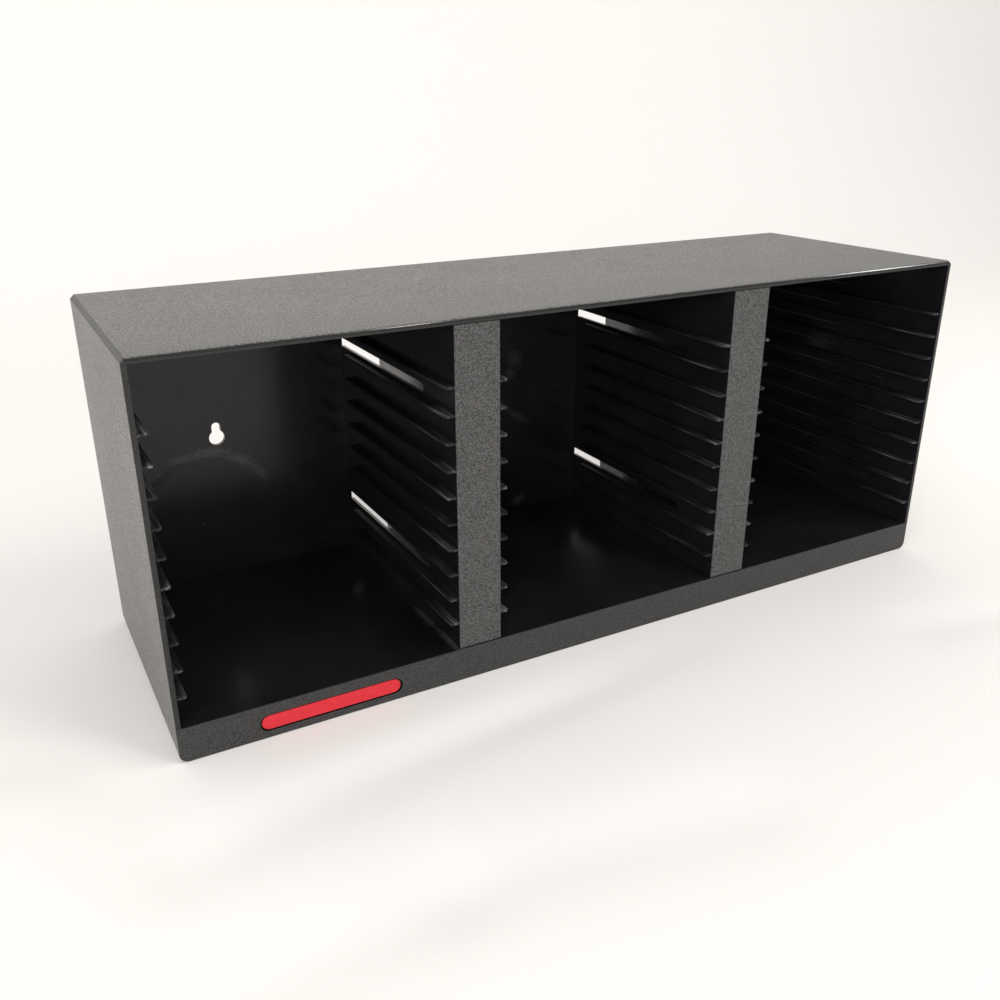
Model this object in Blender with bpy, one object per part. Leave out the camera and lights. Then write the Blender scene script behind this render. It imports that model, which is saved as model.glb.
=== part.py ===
"""Three-bay rack for compact disc cases, moulded in black polystyrene.

The case is one open-fronted moulding: roof, sides, back panel, a hollow plinth with its front lip, and the
support rails of the two outer walls. Two hollow dividers, each a channel open to the rear with rails on both of
its walls, slide in from the front over keys on the floor and the roof, until their rear edges meet the edges of
an opening in the back panel. A red badge sits in a recess of the lip.

Frame: +X to the right seen from the front, the front faces -Y, +Z up, origin at the bottom centre. Metres.
"""

import math

import bmesh
import bpy
from mathutils import Matrix, Vector

MM = 0.001

# What one bay holds: a 125 mm wide disc case on every rail pair, one on the floor, a double case on top.
BAY_WIDTH = 128.0 * MM
BAY_DEPTH = 135.2 * MM
FLOOR_SLOT_HEIGHT = 12.9 * MM
TOP_SPACE_HEIGHT = 26.2 * MM

# Support rails, alike on the outer walls and on the dividers.
RAIL_COUNT = 10
RAIL_PITCH = 12.5 * MM
RAIL_THICKNESS = 1.2 * MM
RAIL_REACH = 4.3 * MM
RAIL_SETBACK = 0.8 * MM
RAIL_BACK_GAP = 13.0 * MM
RAIL_TIP_RADIUS = 1.2 * MM

# Low guide ribs at the middle of each case place, on the outer walls only.
GUIDE_REACH = 0.6 * MM
GUIDE_HEIGHT = 1.0 * MM
GUIDE_SETBACK = 32.5 * MM

# Walls of the case.
SIDE_WALL = 2.2 * MM
ROOF_WALL = 2.4 * MM
BACK_WALL = 2.4 * MM
FLOOR_WALL = 2.0 * MM
BASE_WALL = 2.2 * MM
LIP_WALL = 2.6 * MM
PLINTH_HEIGHT = 16.8 * MM
PLINTH_RIB = 2.0 * MM

# Draft: how far each side wall and the roof lean in from the front plane to the back face.
DRAFT = 0.6 * MM

# Edges of the case.
ROOF_CHAMFER = 1.9 * MM
BASE_RADIUS = 4.0 * MM
BASE_SEGMENTS = 6
BACK_RADIUS = 1.0 * MM
RIM_RADIUS = 0.5 * MM
RIM_SEGMENTS = 2

# Dividers: one between each pair of bays.
DIVIDER_NAMES = ("left_divider", "right_divider")
DIVIDER_WIDTH = 21.6 * MM
DIVIDER_WALL = 1.5 * MM
DIVIDER_FRONT_WALL = 2.0 * MM
DIVIDER_SETBACK = 0.2 * MM
SEAT_CLEARANCE = 0.3 * MM

# How far the back panel laps the rear edge of each wall of a divider.
PANEL_LAP = 0.6 * MM

# Windows through both walls of a divider, open at its rear edge. Rails are counted from the lowest, 0.
WINDOW_ABOVE_RAILS = (1, 8)
WINDOW_HEIGHT = 4.4 * MM
WINDOW_SILL = 1.7 * MM
WINDOW_SETBACK = 32.0 * MM
WINDOW_RADIUS = 1.6 * MM

# Keys on the floor and under the roof that hold the open ends of a divider.
KEY_HEIGHT = 3.0 * MM
KEY_SETBACK = 14.0 * MM

# Keyholes for wall screws, in the back panel of the first and the last bay.
KEYHOLE_FROM_SIDE = 59.3 * MM
KEYHOLE_RISE = 92.5 * MM
KEYHOLE_DIAMETER = 8.0 * MM
KEYHOLE_SLOT_WIDTH = 4.5 * MM
KEYHOLE_SLOT_LIFT = 5.9 * MM

# Badge in the lip, below the left bay.
BADGE_LENGTH = 64.3 * MM
BADGE_HEIGHT = 6.7 * MM
BADGE_THICKNESS = 1.0 * MM
BADGE_FROM_SIDE = 67.3 * MM
BADGE_RISE = 7.5 * MM
BADGE_END_CLEARANCE = 1.0 * MM
BADGE_EDGE_CLEARANCE = 0.55 * MM
BADGE_SINK = 0.1 * MM

# Working values: how far a cutter passes a face, how deep a rib is rooted in its wall, and steps of a round.
OVERRUN = 2.0 * MM
ROOT = 0.8 * MM
TIP_STEPS = 3
ROUND_STEPS = 16
MERGE_DISTANCE = 0.001 * MM

# Sizes and places that follow from the values above.
BAY_COUNT = len(DIVIDER_NAMES) + 1
BAY_STEP = BAY_WIDTH + DIVIDER_WIDTH
CASE_WIDTH = BAY_COUNT * BAY_STEP - DIVIDER_WIDTH + 2 * SIDE_WALL
CASE_DEPTH = BAY_DEPTH + BACK_WALL
FRONT_Y = -CASE_DEPTH / 2
BACK_Y = CASE_DEPTH / 2
PANEL_Y = BACK_Y - BACK_WALL
FLOOR_Z = PLINTH_HEIGHT
FIRST_RAIL_Z = FLOOR_Z + FLOOR_SLOT_HEIGHT
LAST_RAIL_TOP_Z = FIRST_RAIL_Z + (RAIL_COUNT - 1) * RAIL_PITCH + RAIL_THICKNESS
CEILING_Z = LAST_RAIL_TOP_Z + TOP_SPACE_HEIGHT
CASE_HEIGHT = CEILING_Z + ROOF_WALL
LEFT_WALL_X = -CASE_WIDTH / 2 + SIDE_WALL
RIGHT_WALL_X = CASE_WIDTH / 2 - SIDE_WALL
DIVIDER_X = [LEFT_WALL_X + BAY_WIDTH + DIVIDER_WIDTH / 2 + n * BAY_STEP for n in range(len(DIVIDER_NAMES))]


def lean(y):
    """How far a drafted face has leaned in at depth y."""
    return DRAFT * (y - FRONT_Y) / CASE_DEPTH


def clear_scene():
    for old in list(bpy.data.objects):
        bpy.data.objects.remove(old, do_unlink=True)


def new_collection(name, hidden=False):
    collection = bpy.data.collections.new(name)
    collection.hide_render = hidden
    bpy.context.scene.collection.children.link(collection)
    return collection


def material(name, colour, roughness, metallic=0.0):
    made = bpy.data.materials.new(name)
    made.use_nodes = True
    shader = made.node_tree.nodes["Principled BSDF"]
    shader.inputs["Base Color"].default_value = (*colour, 1.0)
    shader.inputs["Roughness"].default_value = roughness
    shader.inputs["Metallic"].default_value = metallic
    return made


def object_from(name, shape, collection):
    """Makes a bmesh into an object of the collection. Cutters are drawn as wires and never rendered."""
    mesh = bpy.data.meshes.new(name)
    shape.to_mesh(mesh)
    shape.free()
    made = bpy.data.objects.new(name, mesh)
    collection.objects.link(made)
    if collection.hide_render:
        made.hide_render = True
        made.display_type = "WIRE"
    return made


def block(x, y, z, x_lean=(0, 0), roof_lean=0):
    """A box between pairs of limits. x_lean says which way each side face leans with depth, roof_lean the top."""
    shape = bmesh.new()
    bmesh.ops.create_cube(shape, size=2.0)
    for corner in shape.verts:
        right, rear, top = (value > 0 for value in corner.co)
        depth = y[rear]
        corner.co = (x[right] + x_lean[right] * lean(depth), depth, z[top] + top * roof_lean * lean(depth))
    return shape


def add_block(shape, *limits, **leans):
    """Adds one more box to a bmesh, as a body of its own."""
    piece = block(*limits, **leans)
    mesh = bpy.data.meshes.new("piece")
    piece.to_mesh(mesh)
    piece.free()
    shape.from_mesh(mesh)
    bpy.data.meshes.remove(mesh)


def arc(centre, radius, start, end, steps):
    """Points on an arc, both ends included; angles in degrees."""
    angles = [math.radians(start + (end - start) * step / steps) for step in range(steps + 1)]
    return [(centre[0] + radius * math.cos(a), centre[1] + radius * math.sin(a)) for a in angles]


def stadium(length, height):
    """Outline of a bar with half-round ends, centred on the origin."""
    straight = (length - height) / 2
    right = arc((straight, 0), height / 2, -90, 90, ROUND_STEPS)
    left = arc((-straight, 0), height / 2, 90, 270, ROUND_STEPS)
    return right + left


def keyhole():
    """Outline of a keyhole: a round for the screw's head, and a slot above it for the shank."""
    half_slot = KEYHOLE_SLOT_WIDTH / 2
    mouth = math.degrees(math.acos(KEYHOLE_SLOT_WIDTH / KEYHOLE_DIAMETER))
    head = arc((0, 0), KEYHOLE_DIAMETER / 2, 180 - mouth, 360 + mouth, 2 * ROUND_STEPS)
    shank = arc((0, KEYHOLE_SLOT_LIFT), half_slot, 0, 180, ROUND_STEPS)
    return head + shank


def plate(outline, thickness, place):
    """A flat outline given a thickness, then moved to its place, as a bmesh."""
    curve = bpy.data.curves.new("outline", "CURVE")
    curve.dimensions = "2D"
    curve.fill_mode = "BOTH"
    curve.extrude = thickness / 2
    spline = curve.splines.new("POLY")
    spline.points.add(len(outline) - 1)
    for point, (u, v) in zip(spline.points, outline):
        point.co = (u, v, 0, 1)
    spline.use_cyclic_u = True
    carrier = bpy.data.objects.new("outline", curve)
    bpy.context.scene.collection.objects.link(carrier)
    mesh = bpy.data.meshes.new_from_object(carrier.evaluated_get(bpy.context.evaluated_depsgraph_get()))
    shape = bmesh.new()
    shape.from_mesh(mesh)
    bpy.data.objects.remove(carrier, do_unlink=True)
    bpy.data.curves.remove(curve)
    bpy.data.meshes.remove(mesh)
    bmesh.ops.remove_doubles(shape, verts=shape.verts, dist=MERGE_DISTANCE)
    shape.transform(place)
    bmesh.ops.recalc_face_normals(shape, faces=shape.faces)
    return shape


def facing_front(x, y, z):
    """Places a flat outline upright, its first axis along X, at a point."""
    return Matrix.Translation((x, y, z)) @ Matrix.Rotation(math.radians(90), 4, "X")


def rail_stack(wall_x, side):
    """All rails of one wall, as separate bars rooted in it. side is 1 where they reach towards +X."""
    root_x = wall_x - side * ROOT
    tip_x = wall_x + side * RAIL_REACH
    start_y = FRONT_Y + RAIL_SETBACK
    end_y = PANEL_Y - RAIL_BACK_GAP
    middle = Vector((tip_x - side * RAIL_TIP_RADIUS, start_y + RAIL_TIP_RADIUS))
    tip = [
        (middle.x + side * (x - middle.x), y)
        for x, y in arc(middle, RAIL_TIP_RADIUS, -90, 0, TIP_STEPS)
    ]
    outline = [(root_x, start_y), *tip, (tip_x, end_y), (root_x, end_y)]
    shape = plate(outline, RAIL_THICKNESS, Matrix.Translation((0, 0, FIRST_RAIL_Z + RAIL_THICKNESS / 2)))
    first = list(shape.verts) + list(shape.edges) + list(shape.faces)
    for n in range(1, RAIL_COUNT):
        copied = bmesh.ops.duplicate(shape, geom=first)["geom"]
        moved = [item for item in copied if isinstance(item, bmesh.types.BMVert)]
        bmesh.ops.translate(shape, verts=moved, vec=(0, 0, n * RAIL_PITCH))
    return shape


def guide_stack(wall_x, side):
    """The guide ribs of one outer wall: one at the middle of every case place, from the floor upwards."""
    shape = bmesh.new()
    across = sorted((wall_x - side * ROOT, wall_x + side * GUIDE_REACH))
    case_places_z = FIRST_RAIL_Z + RAIL_THICKNESS - RAIL_PITCH
    opening = RAIL_PITCH - RAIL_THICKNESS
    for n in range(RAIL_COUNT + 1):
        middle_z = case_places_z + n * RAIL_PITCH + opening / 2
        upright = (middle_z - GUIDE_HEIGHT / 2, middle_z + GUIDE_HEIGHT / 2)
        add_block(shape, across, (FRONT_Y + GUIDE_SETBACK, PANEL_Y + ROOT), upright, x_lean=(side, side))
    return shape


def edges_where(shape, test):
    return [edge for edge in shape.edges if all(test(corner.co) for corner in edge.verts)]


def round_edges(shape, edges, radius, segments):
    bmesh.ops.bevel(
        shape, geom=edges, offset=radius, offset_type="OFFSET", segments=segments,
        profile=0.5, affect="EDGES", clamp_overlap=True, material=-1,
    )


def combine(target, other, operation):
    """Cuts the other solid from the target, or joins it on."""
    step = target.modifiers.new(f"{operation.lower()}_{other.name}", "BOOLEAN")
    step.operation = operation
    step.solver = "EXACT"
    step.object = other


def case_body():
    """The outer form: drafted, with chamfered roof edges, rounded base edges and a softened back."""
    half = CASE_WIDTH / 2
    shape = block((-half, half), (FRONT_Y, BACK_Y), (0, CASE_HEIGHT), x_lean=(1, -1), roof_lean=-1)
    middle_z = CASE_HEIGHT / 2

    def runs_along_y(edge):
        return abs(edge.verts[0].co.y - edge.verts[1].co.y) > CASE_DEPTH / 2

    roof = [edge for edge in edges_where(shape, lambda p: p.z > middle_z) if runs_along_y(edge)]
    round_edges(shape, roof, ROOF_CHAMFER, 1)
    base = [edge for edge in edges_where(shape, lambda p: p.z < MERGE_DISTANCE) if runs_along_y(edge)]
    round_edges(shape, base, BASE_RADIUS, BASE_SEGMENTS)
    rear = edges_where(shape, lambda p: p.y > BACK_Y - MERGE_DISTANCE)
    round_edges(shape, rear, BACK_RADIUS, RIM_SEGMENTS)
    front = edges_where(shape, lambda p: p.y < FRONT_Y + MERGE_DISTANCE)
    round_edges(shape, front, RIM_RADIUS, RIM_SEGMENTS)
    return shape


def bay_cavity():
    """The space that all bays and dividers share."""
    across = (LEFT_WALL_X, RIGHT_WALL_X)
    return block(across, (FRONT_Y - OVERRUN, PANEL_Y), (FLOOR_Z, CEILING_Z), x_lean=(1, -1), roof_lean=-1)


def plinth_pockets():
    """The hollows of the plinth, open to the rear, parted by a rib under the middle of each divider."""
    starts = [LEFT_WALL_X] + [x + PLINTH_RIB / 2 for x in DIVIDER_X]
    ends = [x - PLINTH_RIB / 2 for x in DIVIDER_X] + [RIGHT_WALL_X]
    shape = bmesh.new()
    for start, end in zip(starts, ends):
        leans = (1 if start == LEFT_WALL_X else 0, -1 if end == RIGHT_WALL_X else 0)
        deep = (FRONT_Y + LIP_WALL, BACK_Y + OVERRUN)
        add_block(shape, (start, end), deep, (BASE_WALL, FLOOR_Z - FLOOR_WALL), x_lean=leans)
    return shape


def hollow_limits(middle):
    """The inner faces of a divider's walls, which spread towards the rear."""
    half = DIVIDER_WIDTH / 2 - DIVIDER_WALL
    return (middle - half, middle + half)


def divider_keys():
    """Low blocks on the floor and under the roof, which the open ends of the dividers slide over."""
    shape = bmesh.new()
    for middle in DIVIDER_X:
        left, right = hollow_limits(middle)
        across = (left + SEAT_CLEARANCE, right - SEAT_CLEARANCE)
        deep = (FRONT_Y + KEY_SETBACK, PANEL_Y + ROOT)
        add_block(shape, across, deep, (FLOOR_Z - ROOT, FLOOR_Z + KEY_HEIGHT), x_lean=(-1, 1))
        add_block(shape, across, deep, (CEILING_Z - KEY_HEIGHT, CEILING_Z + ROOT), x_lean=(-1, 1))
    return shape


def rear_openings():
    """Openings in the back panel behind the dividers, between their keys, almost as wide as a divider."""
    shape = bmesh.new()
    half = DIVIDER_WIDTH / 2 - PANEL_LAP
    deep = (PANEL_Y - OVERRUN, BACK_Y + OVERRUN)
    for middle in DIVIDER_X:
        across = (middle - half, middle + half)
        add_block(shape, across, deep, (FLOOR_Z + KEY_HEIGHT, CEILING_Z - KEY_HEIGHT), x_lean=(-1, 1))
    return shape


def keyhole_cutter(x):
    return plate(keyhole(), BACK_WALL + 2 * OVERRUN, facing_front(x, BACK_Y - BACK_WALL / 2, KEYHOLE_RISE))


def badge_x():
    return -CASE_WIDTH / 2 + BADGE_FROM_SIDE


def recess_depth():
    return BADGE_SINK + BADGE_THICKNESS + SEAT_CLEARANCE


def badge_recess():
    length = BADGE_LENGTH + 2 * BADGE_END_CLEARANCE
    height = BADGE_HEIGHT + 2 * BADGE_EDGE_CLEARANCE
    thickness = recess_depth() + OVERRUN
    middle_y = FRONT_Y + recess_depth() - thickness / 2
    return plate(stadium(length, height), thickness, facing_front(badge_x(), middle_y, BADGE_RISE))


def make_case(parts, cutters, finish):
    case = object_from("case_shell", case_body(), parts)
    case.data.materials.append(finish)
    combine(case, object_from("bay_cavity", bay_cavity(), cutters), "DIFFERENCE")
    for name, wall_x, side in (("left_wall", LEFT_WALL_X, 1), ("right_wall", RIGHT_WALL_X, -1)):
        combine(case, object_from(f"{name}_rails", rail_stack(wall_x, side), cutters), "UNION")
        combine(case, object_from(f"{name}_guides", guide_stack(wall_x, side), cutters), "UNION")
    combine(case, object_from("divider_keys", divider_keys(), cutters), "UNION")
    combine(case, object_from("plinth_pockets", plinth_pockets(), cutters), "DIFFERENCE")
    combine(case, object_from("rear_openings", rear_openings(), cutters), "DIFFERENCE")
    keyhole_x = CASE_WIDTH / 2 - KEYHOLE_FROM_SIDE
    for name, x in (("left_keyhole", -keyhole_x), ("right_keyhole", keyhole_x)):
        combine(case, object_from(name, keyhole_cutter(x), cutters), "DIFFERENCE")
    combine(case, object_from("badge_recess", badge_recess(), cutters), "DIFFERENCE")
    return case


def divider_body(middle):
    """The outer form of a divider: its walls spread and its top falls with the draft of the case."""
    across = (middle - DIVIDER_WIDTH / 2, middle + DIVIDER_WIDTH / 2)
    deep = (FRONT_Y + DIVIDER_SETBACK, PANEL_Y - SEAT_CLEARANCE)
    upright = (FLOOR_Z + SEAT_CLEARANCE, CEILING_Z - SEAT_CLEARANCE)
    return block(across, deep, upright, x_lean=(-1, 1), roof_lean=-1)


def divider_hollow(middle):
    """The space inside, open at the rear and at both ends."""
    deep = (FRONT_Y + DIVIDER_SETBACK + DIVIDER_FRONT_WALL, BACK_Y + OVERRUN)
    upright = (FLOOR_Z - OVERRUN, CEILING_Z + OVERRUN)
    return block(hollow_limits(middle), deep, upright, x_lean=(-1, 1))


def divider_window(middle, rail):
    """A slot through both walls above one rail, with rounded front corners."""
    low = FIRST_RAIL_Z + rail * RAIL_PITCH + RAIL_THICKNESS + WINDOW_SILL
    reach = DIVIDER_WIDTH / 2 + RAIL_REACH + OVERRUN
    deep = (FRONT_Y + WINDOW_SETBACK, BACK_Y + OVERRUN)
    shape = block((middle - reach, middle + reach), deep, (low, low + WINDOW_HEIGHT))
    front = edges_where(shape, lambda p: p.y < FRONT_Y + WINDOW_SETBACK + MERGE_DISTANCE)
    corners = [edge for edge in front if abs(edge.verts[0].co.z - edge.verts[1].co.z) < MERGE_DISTANCE]
    round_edges(shape, corners, WINDOW_RADIUS, TIP_STEPS)
    return shape


def make_divider(name, middle, parts, cutters, finish):
    divider = object_from(name, divider_body(middle), parts)
    divider.data.materials.append(finish)
    combine(divider, object_from(f"{name}_hollow", divider_hollow(middle), cutters), "DIFFERENCE")
    for word, side in (("left", -1), ("right", 1)):
        wall_x = middle + side * DIVIDER_WIDTH / 2
        combine(divider, object_from(f"{name}_{word}_rails", rail_stack(wall_x, side), cutters), "UNION")
    for rail in WINDOW_ABOVE_RAILS:
        window = object_from(f"{name}_window_{rail}", divider_window(middle, rail), cutters)
        combine(divider, window, "DIFFERENCE")
    return divider


def make_badge(parts, finish):
    middle_y = FRONT_Y + BADGE_SINK + BADGE_THICKNESS / 2
    outline = stadium(BADGE_LENGTH, BADGE_HEIGHT)
    badge = object_from("badge", plate(outline, BADGE_THICKNESS, facing_front(badge_x(), middle_y, BADGE_RISE)), parts)
    badge.data.materials.append(finish)
    return badge


def main():
    clear_scene()
    parts = new_collection("cd_rack")
    cutters = new_collection("cutters", hidden=True)
    black_case = material("black_case", (0.022, 0.022, 0.024), 0.5)
    black_divider = material("black_divider", (0.018, 0.018, 0.02), 0.42)
    red_badge = material("red_badge", (0.62, 0.03, 0.05), 0.38)
    make_case(parts, cutters, black_case)
    for name, middle in zip(DIVIDER_NAMES, DIVIDER_X):
        make_divider(name, middle, parts, cutters, black_divider)
    make_badge(parts, red_badge)


main()
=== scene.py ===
"""Three-bay rack for compact disc cases, in black moulded polystyrene, dressed for the camera."""

import math

import bmesh
import bpy
from mathutils import Matrix, Vector


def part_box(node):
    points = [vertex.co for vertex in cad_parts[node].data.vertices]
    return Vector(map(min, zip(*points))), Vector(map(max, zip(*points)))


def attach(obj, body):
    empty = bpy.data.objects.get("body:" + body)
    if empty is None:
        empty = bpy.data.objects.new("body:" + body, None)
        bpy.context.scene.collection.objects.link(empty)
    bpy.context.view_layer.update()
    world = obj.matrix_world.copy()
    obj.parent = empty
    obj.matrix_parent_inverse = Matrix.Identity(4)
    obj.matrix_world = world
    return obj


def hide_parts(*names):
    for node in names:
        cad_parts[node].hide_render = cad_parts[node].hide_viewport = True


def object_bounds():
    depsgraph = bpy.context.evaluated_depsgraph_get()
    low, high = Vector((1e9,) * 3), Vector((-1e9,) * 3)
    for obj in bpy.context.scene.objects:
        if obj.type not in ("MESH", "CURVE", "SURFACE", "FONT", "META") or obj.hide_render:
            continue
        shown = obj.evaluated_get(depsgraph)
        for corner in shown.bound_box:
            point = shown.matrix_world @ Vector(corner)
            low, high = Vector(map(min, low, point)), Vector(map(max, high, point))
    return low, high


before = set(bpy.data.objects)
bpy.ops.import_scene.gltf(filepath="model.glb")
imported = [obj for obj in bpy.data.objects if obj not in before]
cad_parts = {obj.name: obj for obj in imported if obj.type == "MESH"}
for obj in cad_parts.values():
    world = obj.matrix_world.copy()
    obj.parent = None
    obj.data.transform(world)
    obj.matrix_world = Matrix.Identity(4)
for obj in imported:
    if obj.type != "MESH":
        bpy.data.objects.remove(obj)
cad_low, cad_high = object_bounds()


# Camera: it stands to the left of the rack and a little above it, about 37 cm from the near corner, with the
# wide lens of a phone. Its place and turn were worked out from the rack's straight edges.
MM = 0.001
camera_data = bpy.data.cameras.new("camera")
camera_data.sensor_width = 36.0
camera_data.lens = 35.645
camera_data.clip_start = 0.01
camera_data.clip_end = 50.0
camera = bpy.data.objects.new("camera", camera_data)
CAMERA_RIGHT = Vector((0.875278, -0.483605, -0.00218))
CAMERA_UP = Vector((0.18706, 0.33439, 0.92369))
CAMERA_BACK = Vector((-0.445975, -0.80889, 0.38315))
CAMERA_PLACE = Vector((-262.5, -428.0, 258.2)) * MM
camera_turn = Matrix((CAMERA_RIGHT, CAMERA_UP, CAMERA_BACK)).transposed().to_4x4()
camera.matrix_world = Matrix.Translation(CAMERA_PLACE) @ camera_turn
bpy.context.scene.collection.objects.link(camera)
bpy.context.scene.camera = camera


# Case: one open-fronted injection moulding in black polystyrene, with a hollow plinth and the rails of the
# outer walls. Its outside has the spark texture of the mould. Inside and on the front rim it is polished.
def new_material(name):
    """A new material, with its node tree and its shader."""
    made = bpy.data.materials.new(name)
    made.use_nodes = True
    return made, made.node_tree, made.node_tree.nodes["Principled BSDF"]


def add_node(tree, kind, **values):
    """Adds a node. Values named after sockets are set on them, the others on the node itself."""
    node = tree.nodes.new(kind)
    for key, value in values.items():
        label = key.replace("_", " ").title()
        if label in node.inputs:
            node.inputs[label].default_value = value
        else:
            setattr(node, key, value)
    return node


def object_points(tree, place=(0, 0, 0), turn=(0, 0, 0), size=(1, 1, 1)):
    """The surface's own points, measured from a place along turned axes, in units of the size."""
    mapping = add_node(
        tree, "ShaderNodeMapping", vector_type="TEXTURE", location=place, rotation=turn, scale=size
    )
    tree.links.new(add_node(tree, "ShaderNodeTexCoord").outputs["Object"], mapping.inputs["Vector"])
    return mapping.outputs["Vector"]


def noise(tree, grain, detail, roughness=0.5):
    """Noise whose lumps are about one grain wide: a length, or three of them along x, y and z."""
    size = grain if isinstance(grain, tuple) else (grain, grain, grain)
    made = add_node(tree, "ShaderNodeTexNoise", scale=1.0, detail=detail, roughness=roughness)
    tree.links.new(object_points(tree, size=size), made.inputs["Vector"])
    return made.outputs["Fac"]


def spread(tree, value, low, high, to_low, to_high):
    """Maps a range of values onto another one, clamped."""
    made = add_node(tree, "ShaderNodeMapRange", from_min=low, from_max=high, to_min=to_low, to_max=to_high)
    tree.links.new(value, made.inputs["Value"])
    return made.outputs["Result"]


def maths(tree, operation, first, second):
    """Adds or multiplies and the like, each side a number or another node's output."""
    made = add_node(tree, "ShaderNodeMath", operation=operation)
    for socket, value in zip(made.inputs, (first, second)):
        if isinstance(value, (int, float)):
            socket.default_value = value
        else:
            tree.links.new(value, socket)
    return made.outputs["Value"]


def blend_colours(tree, share, first, second):
    """Mixes two colours, each a fixed one or another node's output."""
    made = add_node(tree, "ShaderNodeMix", data_type="RGBA")
    tree.links.new(share, made.inputs["Factor"])
    # A mix node's colours are its inputs 6 and 7 and its output 2.
    for socket, value in ((made.inputs[6], first), (made.inputs[7], second)):
        if isinstance(value, tuple):
            socket.default_value = (*value, 1.0)
        else:
            tree.links.new(value, socket)
    return made.outputs[2]


def bump(tree, shader, height, distance):
    """Lets light catch on a relief that is one distance deep."""
    made = add_node(tree, "ShaderNodeBump", strength=1.0, distance=distance)
    tree.links.new(height, made.inputs["Height"])
    tree.links.new(made.outputs["Normal"], shader.inputs["Normal"])


def smudge(tree, place, size, turn):
    """A soft patch, 1 in its middle and 0 at its half sizes, turned about y. Lengths are in millimetres."""
    points = object_points(tree, Vector(place) * MM, (0, turn, 0), Vector(size) * MM)
    reach = add_node(tree, "ShaderNodeVectorMath", operation="LENGTH")
    tree.links.new(points, reach.inputs[0])
    return spread(tree, reach.outputs["Value"], 0.0, 1.0, 1.0, 0.0)


# Nearly all of a noise lies within this range.
NOISE_RANGE = (0.3, 0.7)
SPARK_TINT = Vector((1.0, 0.986, 0.972))
FINE_GRAIN_SHARE = 0.25
PATCH_SHARE = 0.05
PATCH_WIDTH = 42.0 * MM
PIT_LEVEL = 0.46
TOP_LEVEL = 0.59


def spark_texture(name, grain, dark, light, smooth=0.46, rough=0.54, gloss=0.8, relief=0.8):
    """Outside of a moulding: grains of one width with finer ones between them, dark pits and light tops.

    Dark and light are the greys of pits and tops, smooth and rough the range of roughness, gloss the specular
    level and relief the depth of the grain in grain widths.
    """
    made, tree, shader = new_material(name)
    coarse = noise(tree, grain, detail=1.0)
    fine = noise(tree, grain / 2, detail=0.0)
    patches = noise(tree, PATCH_WIDTH, detail=3.0)
    coarse_part = maths(tree, "MULTIPLY", coarse, 1 - FINE_GRAIN_SHARE)
    height = maths(tree, "ADD", coarse_part, maths(tree, "MULTIPLY", fine, FINE_GRAIN_SHARE))
    level = maths(tree, "ADD", height, maths(tree, "MULTIPLY", patches, PATCH_SHARE))
    share = spread(tree, level, PIT_LEVEL, TOP_LEVEL, 0.0, 1.0)
    colour = blend_colours(tree, share, tuple(SPARK_TINT * dark), tuple(SPARK_TINT * light))
    tree.links.new(colour, shader.inputs["Base Color"])
    tree.links.new(spread(tree, patches, *NOISE_RANGE, smooth, rough), shader.inputs["Roughness"])
    shader.inputs["Specular IOR Level"].default_value = gloss
    bump(tree, shader, height, grain * relief)
    return made


POLISH_DARK = (0.0070, 0.0073, 0.0090)
POLISH_LIGHT = (0.0118, 0.0122, 0.0148)
# A pale grey: on the back panels and the floor the colour of real scuffs, on the rail fronts both rubbed wear
# and a painted highlight.
RUB_AND_HIGHLIGHT_GREY = (0.26, 0.26, 0.27)
FRONT_Y = cad_low.y
WEAR_LINE_SIZE = (1.1 * MM, 30.0 * MM, 1.3 * MM)
WEAR_LINE_RANGE = (0.50, 0.66)
WEAR_PATCH_SIZE = (40.0 * MM, 16.0 * MM, 12.0 * MM)
WEAR_PATCH_RANGE = (0.36, 0.6)
WEAR_PATCH_LEAST = 0.2
# Where the rubbed grey on the rails fades inwards and where it is strongest at the tip: painted highlight as
# well as wear.
WEAR_FROM = FRONT_Y + 2 * MM
WEAR_TO = FRONT_Y + 52 * MM
RUB_AND_HIGHLIGHT_FADE = 1.8
LEAST_WORN = 0.07
MOST_WORN = 0.6
TIP_FROM = FRONT_Y + 3 * MM
TIP_TO = FRONT_Y + 8 * MM
TIP_RUB_AND_HIGHLIGHT = 0.7


def front_rub_and_highlight(tree):
    """How much a rail is rubbed, in fine lines that run inwards from the mouth of the bay. It is also a
    painted highlight: strongest at the rail's tip, it fades inwards as the light from the mouth does.
    """
    lines = noise(tree, WEAR_LINE_SIZE, detail=2.0, roughness=0.6)
    lines = spread(tree, lines, *WEAR_LINE_RANGE, LEAST_WORN, MOST_WORN)
    patches = noise(tree, WEAR_PATCH_SIZE, detail=1.0)
    patches = spread(tree, patches, *WEAR_PATCH_RANGE, WEAR_PATCH_LEAST, 1.0)
    place = add_node(tree, "ShaderNodeSeparateXYZ")
    tree.links.new(object_points(tree), place.inputs["Vector"])
    # The grey fades inwards from the mouth and is strongest at the tip: painted highlight, for the light that
    # falls in from the front.
    inwards = spread(tree, place.outputs["Y"], WEAR_FROM, WEAR_TO, 1.0, 0.0)
    at_tip = spread(tree, place.outputs["Y"], TIP_FROM, TIP_TO, TIP_RUB_AND_HIGHLIGHT, 0.0)
    reach = maths(tree, "MAXIMUM", maths(tree, "POWER", inwards, RUB_AND_HIGHLIGHT_FADE), at_tip)
    return maths(tree, "MULTIPLY", maths(tree, "MULTIPLY", lines, patches), reach)


HAZE_WIDTH = 33.0 * MM
HAZE_RANGE = (0.35, 0.7)
SPECKLE_SIZE = (1.8 * MM, 4.0 * MM, 1.1 * MM)
SCUFF_START = 0.90
SCUFF_FULL = 1.45
CLEAN_GLOSS = 0.38
CLEAN_ROUGHNESS = 0.17
WORN_GLOSS = 0.09
WORN_ROUGHNESS = 0.40
HAZE_ROUGHNESS = 0.10
RIPPLE_WIDTH = 0.8 * MM
RIPPLE_DEPTH = 0.01 * MM


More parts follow.
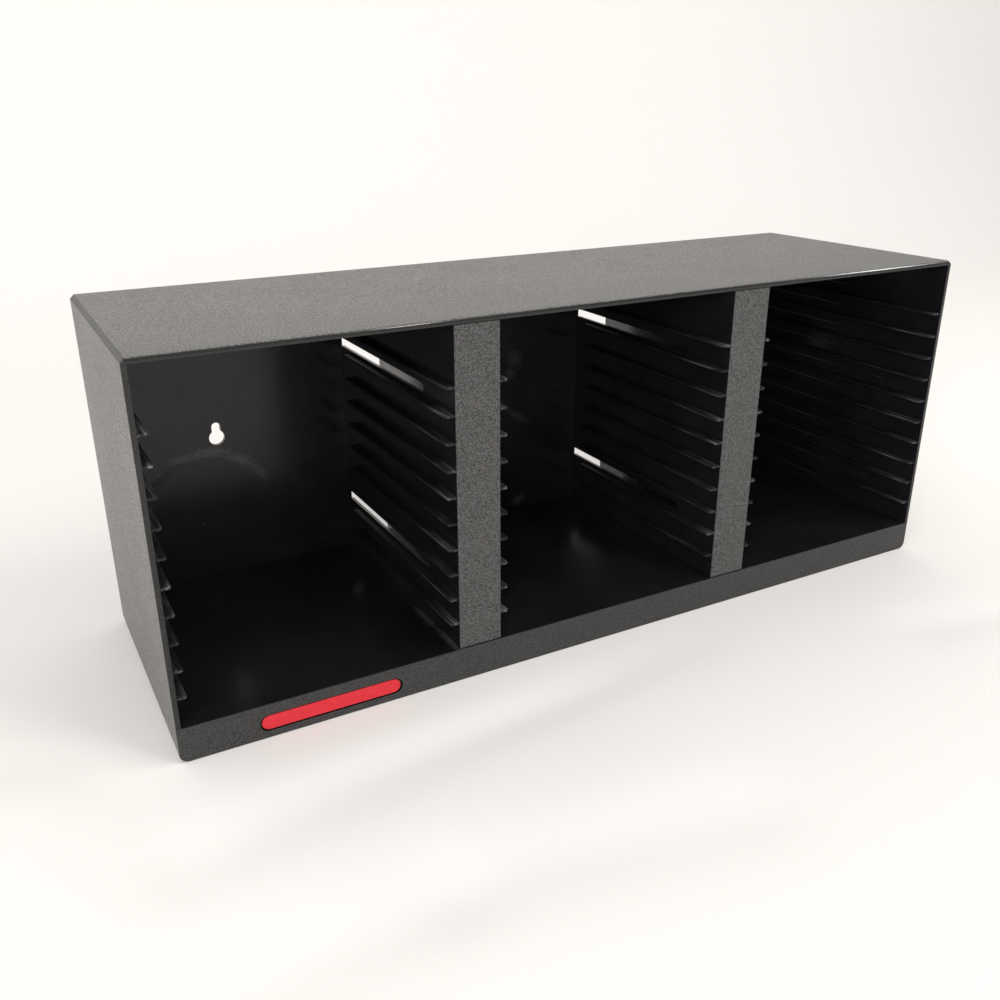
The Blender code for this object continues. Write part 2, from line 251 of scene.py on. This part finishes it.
def polished_black(name, scuffs=(), rubbed_highlit_front=False):
    """Inside of a moulding: smooth black with handling haze and scuffs, its front worn by sliding cases and
    lightened there by a painted highlight.
    """
    made, tree, shader = new_material(name)
    haze = noise(tree, HAZE_WIDTH, detail=4.0, roughness=0.6)
    colour = blend_colours(tree, spread(tree, haze, *HAZE_RANGE, 0.0, 1.0), POLISH_DARK, POLISH_LIGHT)
    speckle = noise(tree, SPECKLE_SIZE, detail=3.0, roughness=0.8)
    for place, size, turn, strength in scuffs:
        patch = maths(tree, "ADD", smudge(tree, place, size, turn), speckle)
        share = spread(tree, patch, SCUFF_START, SCUFF_FULL, 0.0, strength)
        colour = blend_colours(tree, share, colour, RUB_AND_HIGHLIGHT_GREY)
    # On the rail fronts the rubbed grey is wear and painted highlight together.
    if rubbed_highlit_front:
        colour = blend_colours(tree, front_rub_and_highlight(tree), colour, RUB_AND_HIGHLIGHT_GREY)
    shader.inputs["Specular IOR Level"].default_value = WORN_GLOSS if rubbed_highlit_front else CLEAN_GLOSS
    tree.links.new(colour, shader.inputs["Base Color"])
    smooth = WORN_ROUGHNESS if rubbed_highlit_front else CLEAN_ROUGHNESS
    roughness = spread(tree, haze, *NOISE_RANGE, smooth, smooth + HAZE_ROUGHNESS)
    tree.links.new(roughness, shader.inputs["Roughness"])
    bump(tree, shader, noise(tree, RIPPLE_WIDTH, detail=1.0), RIPPLE_DEPTH)
    return made


def merged_copy(node):
    """A CAD node's mesh with its triangles joined, its flat areas one face each."""
    shape = bmesh.new()
    shape.from_mesh(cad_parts[node].data)
    bmesh.ops.remove_doubles(shape, verts=shape.verts, dist=0.001 * MM)
    bmesh.ops.dissolve_limit(shape, angle_limit=math.radians(0.05), verts=shape.verts, edges=shape.edges)
    return shape


SHARP_ANGLE = math.radians(40)
SHADING_ANGLE = math.radians(35)
NEAR = 0.01 * MM


def soften(shape, test, radius, segments=2):
    """Rounds the sharp edges that pass the test, which is given both ends of an edge."""
    sharp = [edge for edge in shape.edges if edge.is_manifold and edge.calc_face_angle() > SHARP_ANGLE]
    chosen = [edge for edge in sharp if test(edge.verts[0].co, edge.verts[1].co)]
    bmesh.ops.bevel(
        shape, geom=chosen, offset=radius, offset_type="OFFSET", segments=segments,
        profile=0.5, affect="EDGES", clamp_overlap=True, material=-1,
    )


def in_front_plane(y):
    """A test for edges that lie in the plane at this y."""
    def passes(a, b):
        return max(a.y, b.y) < y + NEAR

    return passes


def finish_piece(name, shape, materials, node):
    """Makes the shape an object on the root body in place of a CAD node, smooth but for its sharp edges."""
    mesh = bpy.data.meshes.new(name)
    for face in shape.faces:
        face.smooth = True
    shape.to_mesh(mesh)
    shape.free()
    mesh.set_sharp_from_angle(angle=SHADING_ANGLE)
    for made in materials:
        mesh.materials.append(made)
    piece = bpy.data.objects.new(name, mesh)
    bpy.context.scene.collection.objects.link(piece)
    weighted = piece.modifiers.new("weighted", "WEIGHTED_NORMAL")
    weighted.keep_sharp = True
    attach(piece, "root")
    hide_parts(node)


# A rail stands out of its wall by less than its reach. Its edges are rounded beyond its root, and its faces
# are worn beyond its foot, their fronts lightened also by a painted highlight.
SIDE_WALL = 2.2 * MM
RAIL_ROOT = 0.7 * MM
RAIL_FOOT = 0.9 * MM
RAIL_REACH = 5 * MM
RAIL_RADIUS = 0.2 * MM
RAIL_TILT = 0.5 * MM


def from_side_wall(point):
    """How far a point stands out of the nearer side wall."""
    return cad_high.x - SIDE_WALL - abs(point.x)


def soften_rails(shape, proud):
    """Rounds the level edges of the rails. Proud gives how far a point stands out of the wall they are on."""
    def on_rail(a, b):
        return abs(a.z - b.z) < RAIL_TILT and RAIL_ROOT < max(proud(a), proud(b)) < RAIL_REACH

    soften(shape, on_rail, RAIL_RADIUS)


# Each scuff is its place, half sizes, turn about y in radians and strength. Lengths are in millimetres.
SCUFFS = (
    ((-174, 66, 84), (19, 6, 5.5), -0.12, 0.30),
    ((-160, 66, 85), (21, 6, 6.5), 0.08, 0.38),
    ((-146, 66, 79), (19, 6, 6.5), 0.45, 0.34),
    ((-136, 66, 70), (14, 6, 6.0), 0.65, 0.20),
    ((20, 66, 112), (13, 6, 11), 0.5, 0.13),
    ((17, 66, 103), (8, 6, 7), 0.0, 0.13),
    ((21, 66, 77), (20, 6, 5.5), 0.55, 0.13),
    ((23, 66, 22), (11, 6, 6), -0.4, 0.15),
    ((-85, -58, 17), (7, 24, 5), 0.0, 0.35),
    ((-87, -34, 17), (4, 30, 5), 0.0, 0.20),
)
# The outside of top and sides is lighter than the same plastic on the lip and the dividers: its grain is
# real, but part of its lightness is painted sheen, for the light its grazing faces catch.
case_outside_painted_sheen = spark_texture(
    "case_outside_painted_sheen", grain=1.0 * MM, dark=0.007, light=0.140, smooth=0.34, rough=0.40, gloss=1.0, relief=1.0
)
case_inside = polished_black("case_inside", SCUFFS)
case_rail = polished_black("case_rail", rubbed_highlit_front=True)
case_rim = spark_texture(
    "case_rim", grain=0.6 * MM, dark=0.008, light=0.014, smooth=0.08, rough=0.13, gloss=0.45, relief=0.005
)
# The chamfers are darker than the rest of the outside: painted shade, for the less light a face turned up at
# 45 degrees catches.
case_edge = spark_texture("case_edge", grain=0.6 * MM, dark=0.012, light=0.080)
# The lip's front is darker than the outside of the same moulding: painted shade, for the dimmer light low on
# the front.
case_lip_painted_shade = spark_texture("case_lip_painted_shade", grain=0.65 * MM, dark=0.004, light=0.047, gloss=0.5)
case_materials = (case_outside_painted_sheen, case_inside, case_rail, case_rim, case_edge, case_lip_painted_shade)
OUTSIDE, INSIDE, RAIL, RIM, EDGE, LIP = range(6)

# The CAD rounds the roof's front edge to 0.5 mm. Here that rounding is stretched to 1.1 mm.
CAD_ROUNDING = 0.5 * MM
ROOF_EDGE_SCALE = 2.2
RIM_RADIUS = 0.45 * MM
case = merged_copy("case_shell")
for vert in case.verts:
    down = cad_high.z - vert.co.z
    back = vert.co.y - FRONT_Y
    if max(down, back) < CAD_ROUNDING + NEAR:
        vert.co.y = FRONT_Y + back * ROOF_EDGE_SCALE
        vert.co.z = cad_high.z - down * ROOF_EDGE_SCALE
soften_rails(case, from_side_wall)
soften(case, in_front_plane(FRONT_Y), RIM_RADIUS, segments=3)

# The front of the lip ends level across the side walls, where the polished rim begins.
LIP_TOP_Z = 16.8 * MM
LIP_CUT_Z = 16.4 * MM
front_faces = [face for face in case.faces if face.calc_center_median().y < FRONT_Y + NEAR]
front_edges = {edge for face in front_faces for edge in face.edges}
front_verts = {vert for face in front_faces for vert in face.verts}
bmesh.ops.bisect_plane(
    case, geom=[*front_faces, *front_edges, *front_verts], plane_co=(0, 0, LIP_CUT_Z), plane_no=(0, 0, 1)
)

# What lies past the middle of a wall, of the back panel or of roof and floor belongs to the outside. The
# chamfers of the roof have a finer grain and a darker tone, which is painted shade.
MID_WALL = Vector((1.4, 1.2, 1.5)) * MM
FRONT_BAND = 0.7 * MM
CHAMFER_BAND = 1.85 * MM
for face in case.faces:
    centre = face.calc_center_median()
    to_side = cad_high.x - abs(centre.x)
    to_back = cad_high.y - centre.y
    to_roof = cad_high.z - centre.z
    if centre.y < FRONT_Y + FRONT_BAND:
        face.material_index = LIP if centre.z < LIP_TOP_Z else RIM
    elif to_side < MID_WALL.x or to_back < MID_WALL.y or min(to_roof, centre.z) < MID_WALL.z:
        face.material_index = EDGE if max(to_side, to_roof) < CHAMFER_BAND else OUTSIDE
    else:
        face.material_index = RAIL if RAIL_FOOT < from_side_wall(centre) < RAIL_REACH else INSIDE

# A small flattened pip on the back panel of the left bay.
PIP_PLACE = Vector((-168.5, 66.4, 46.5)) * MM
PIP_RADIUS = 0.85 * MM
pip_shape = Matrix.Translation(PIP_PLACE) @ Matrix.Diagonal((1.0, 0.7, 1.0, 1.0))
pip = bmesh.ops.create_icosphere(case, subdivisions=2, radius=PIP_RADIUS, matrix=pip_shape)
for face in {face for vert in pip["verts"] for face in vert.link_faces}:
    face.material_index = EDGE
finish_piece("case_dressed", case, case_materials, "case_shell")


# Dividers: two hollow channels of black polystyrene between the bays, with rails on both walls. They slide in
# from the front over keys, which leaves a fine seam at the head and foot of their spark-textured fronts.
divider_outside = spark_texture("divider_outside", grain=0.58 * MM, dark=0.004, light=0.092, gloss=0.6)
divider_inside = polished_black("divider_inside")
divider_rail = polished_black("divider_rail", rubbed_highlit_front=True)
divider_hollow = spark_texture(
    "divider_hollow", grain=0.8 * MM, dark=0.014, light=0.038, smooth=0.18, rough=0.24, gloss=0.6, relief=0.02
)
divider_materials = (divider_outside, divider_inside, divider_rail, divider_hollow)
HOLLOW = 3

# Half the channel's width over its walls. Faces further in than the hollow's depth are inside the channel,
# and those in a narrow band at the front are the post's face.
HALF_CHANNEL = 10.8 * MM
HOLLOW_DEPTH = 0.5 * MM
POST_BAND = 0.4 * MM
POST_RADIUS = 0.35 * MM
for node in ("left_divider", "right_divider"):
    low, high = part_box(node)
    middle = (low.x + high.x) / 2
    divider = merged_copy(node)

    def from_channel(point):
        """How far a point stands out of the nearer wall of the channel, or below 0 how far it lies within."""
        return abs(point.x - middle) - HALF_CHANNEL

    soften_rails(divider, from_channel)
    soften(divider, in_front_plane(low.y), POST_RADIUS)
    for face in divider.faces:
        centre = face.calc_center_median()
        proud = from_channel(centre)
        if centre.y < low.y + POST_BAND and proud < NEAR:
            face.material_index = OUTSIDE
        elif proud < -HOLLOW_DEPTH:
            face.material_index = HOLLOW
        else:
            face.material_index = RAIL if proud > RAIL_FOOT else INSIDE
    finish_piece(f"{node}_dressed", divider, divider_materials, node)


# Badge: a thin insert of red plastic with half-round ends, pressed into a recess of the lip. The words on the
# real one are left off.
BADGE_DARK = (0.57, 0.010, 0.022)
BADGE_LIGHT = (0.64, 0.013, 0.028)
BADGE_RADIUS = 0.35 * MM
MOTTLE_WIDTH = 2.2 * MM
MOTTLE_RANGE = (0.35, 0.65)
DENT_WIDTH = 0.7 * MM
DENT_DEPTH = 0.02 * MM
badge_red, badge_tree, badge_shader = new_material("badge_red")
badge_shader.inputs["Roughness"].default_value = 0.38
mottle = noise(badge_tree, MOTTLE_WIDTH, detail=3.0, roughness=0.6)
light_share = spread(badge_tree, mottle, *MOTTLE_RANGE, 0.0, 1.0)
badge_colour = blend_colours(badge_tree, light_share, BADGE_DARK, BADGE_LIGHT)
badge_tree.links.new(badge_colour, badge_shader.inputs["Base Color"])
bump(badge_tree, badge_shader, noise(badge_tree, DENT_WIDTH, detail=1.0), DENT_DEPTH)
badge = merged_copy("badge")
badge_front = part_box("badge")[0].y
soften(badge, in_front_plane(badge_front), BADGE_RADIUS, segments=3)
finish_piece("badge_dressed", badge, (badge_red,), "badge")


# Floor and backdrop: one sheet of white twill under the rack, with soft folds in front, swept up behind it.
# It isn't part of the rack.
CLOTH_DARK = (0.81, 0.795, 0.775)
CLOTH_LIGHT = (0.88, 0.865, 0.845)
WEAVE_PITCH = 0.95 * MM
WEAVE_TURN = math.radians(124.7)
cloth_white, cloth_tree, cloth_shader = new_material("cloth_white")
# A wave texture repeats after a full turn divided by 20.
weave_size = WEAVE_PITCH * 20 / math.tau
weave = add_node(cloth_tree, "ShaderNodeTexWave", scale=1.0)
weave_points = object_points(cloth_tree, turn=(0, 0, WEAVE_TURN), size=(weave_size,) * 3)
cloth_tree.links.new(weave_points, weave.inputs["Vector"])
cloth_colour = blend_colours(cloth_tree, weave.outputs["Fac"], CLOTH_DARK, CLOTH_LIGHT)
cloth_tree.links.new(cloth_colour, cloth_shader.inputs["Base Color"])
cloth_shader.inputs["Roughness"].default_value = 0.9
cloth_shader.inputs["Specular IOR Level"].default_value = 0.1
# Each fold is the two ends of its valley, its half width and its depth, in millimetres.
FOLDS = (
    ((-224, -126), (30, -80), 18, 2.4),
    ((-224, -188), (-150, -188), 18, 2.0),
    ((-141, -182), (-28, -204), 20, 2.0),
    ((149, -140), (200, -150), 16, 1.6),
    ((-300, -25), (-226, -70), 16, 2.0),
    ((-330, -230), (-60, -120), 45, 1.6),
)
RACK_HALF_WIDTH = 216
RACK_HALF_DEPTH = 70
FLAT_MARGIN = 35


def sag(x, y):
    """How far the cloth dips at a point, in millimetres. It lies flat under the rack and close around it."""
    away = Vector((max(abs(x) - RACK_HALF_WIDTH, 0), max(abs(y) - RACK_HALF_DEPTH, 0))).length
    total = 0.0
    for start, end, width, depth in FOLDS:
        run = Vector(end) - Vector(start)
        place = Vector((x, y)) - Vector(start)
        along = min(max(place.dot(run) / run.length_squared, 0), 1)
        total += depth * math.exp(-((place - run * along).length / width) ** 2)
    return total * min(away / FLAT_MARGIN, 1) ** 2


# The sheet in millimetres, its grid fine where the folds are: flat, then a quarter turn up, then upright.
SWEEP_START = 550
SWEEP_RADIUS = 500
SWEEP_TOP = 2600
FOLD_GRID = 6
columns = [-3000, -1200, -600, *range(-420, 421, FOLD_GRID), 600, 1200, 3000]
profile = [(y, 0) for y in (-2500, -1000, -500, *range(-330, 103, FOLD_GRID), 300, SWEEP_START)]
for degrees in range(10, 91, 10):
    turn = math.radians(degrees)
    profile.append((SWEEP_START + SWEEP_RADIUS * math.sin(turn), SWEEP_RADIUS * (1 - math.cos(turn))))
profile.append((SWEEP_START + SWEEP_RADIUS, SWEEP_TOP))
sweep = bmesh.new()
rows = [[sweep.verts.new(Vector((x, y, z - sag(x, y))) * MM) for x in columns] for y, z in profile]
for near, far in zip(rows, rows[1:]):
    for n in range(len(columns) - 1):
        sweep.faces.new((near[n], near[n + 1], far[n + 1], far[n])).smooth = True
sweep_mesh = bpy.data.meshes.new("backdrop")
sweep.to_mesh(sweep_mesh)
sweep.free()
sweep_mesh.materials.append(cloth_white)
backdrop = bpy.data.objects.new("backdrop", sweep_mesh)
bpy.context.scene.collection.objects.link(backdrop)


# Light: a soft light from the front left, which is the strongest, weaker ones overhead and from the left, and
# two narrow lamps whose mirror images are the glints on the roof's front edge. The room round them is bright.
def add_light(name, place, turn, width, height, power, colour):
    """A rectangular lamp in metres and watts."""
    data = bpy.data.lights.new(name, "AREA")
    data.shape = "RECTANGLE"
    data.size = width
    data.size_y = height
    data.energy = power
    data.color = colour
    light = bpy.data.objects.new(name, data)
    light.matrix_world = Matrix.Translation(place) @ turn.to_4x4()
    bpy.context.scene.collection.objects.link(light)


def soft_light(name, place, aim, width, height, power, colour):
    """A lamp at a place, turned to face the point it is aimed at."""
    turn = (Vector(aim) - Vector(place)).to_track_quat("-Z", "Y").to_matrix()
    add_light(name, Vector(place), turn, width, height, power, colour)


GLINT_Y = -68.8
GLINT_Z = 171.6
LAMP_AWAY = 1.7
LAMP_LENGTH = 0.9


def glint_lamp(name, glint_x, rise, width, power, colour):
    """A narrow lamp that the roof's front edge mirrors to the camera at this x, in millimetres."""
    glint = Vector((glint_x, GLINT_Y, GLINT_Z)) * MM
    to_camera = (CAMERA_PLACE - glint).normalized()
    side = math.sqrt(1 - to_camera.x ** 2)
    away = Vector((-to_camera.x, -side * math.cos(rise), side * math.sin(rise)))
    along = Vector((0, math.sin(rise), math.cos(rise)))
    turn = Matrix((along.cross(away), along, away)).transposed()
    add_light(name, glint + away * LAMP_AWAY, turn, width, LAMP_LENGTH, power, colour)


NEUTRAL = (1.0, 0.99, 0.98)
WARM = (1.0, 0.93, 0.84)
soft_light(
    "overhead", place=(-0.45, -0.3, 1.8), aim=(-0.1, 0, 0),
    width=2.8, height=2.2, power=7.1, colour=(1.0, 0.992, 0.98),
)
soft_light(
    "left", place=(-2.4, 0.8, 1.1), aim=(-0.2, 0, 0.08),
    width=1.4, height=1.4, power=6.0, colour=NEUTRAL,
)
soft_light(
    "front_left", place=(-1.4, -1.4, 0.8), aim=(0, 0, 0.08),
    width=1.0, height=1.0, power=17.5, colour=NEUTRAL,
)
glint_lamp("warm_lamp", glint_x=-105.2, rise=math.radians(52), width=0.10, power=5.2, colour=WARM)
glint_lamp("white_lamp", glint_x=165.1, rise=math.radians(50), width=0.14, power=9.0, colour=NEUTRAL)
room = bpy.data.worlds.new("room")
room.use_nodes = True
room_light = room.node_tree.nodes["Background"]
room_light.inputs["Color"].default_value = (1.0, 0.993, 0.985, 1.0)
room_light.inputs["Strength"].default_value = 0.68
bpy.context.scene.world = room
bpy.context.scene.view_settings.view_transform = "Standard"
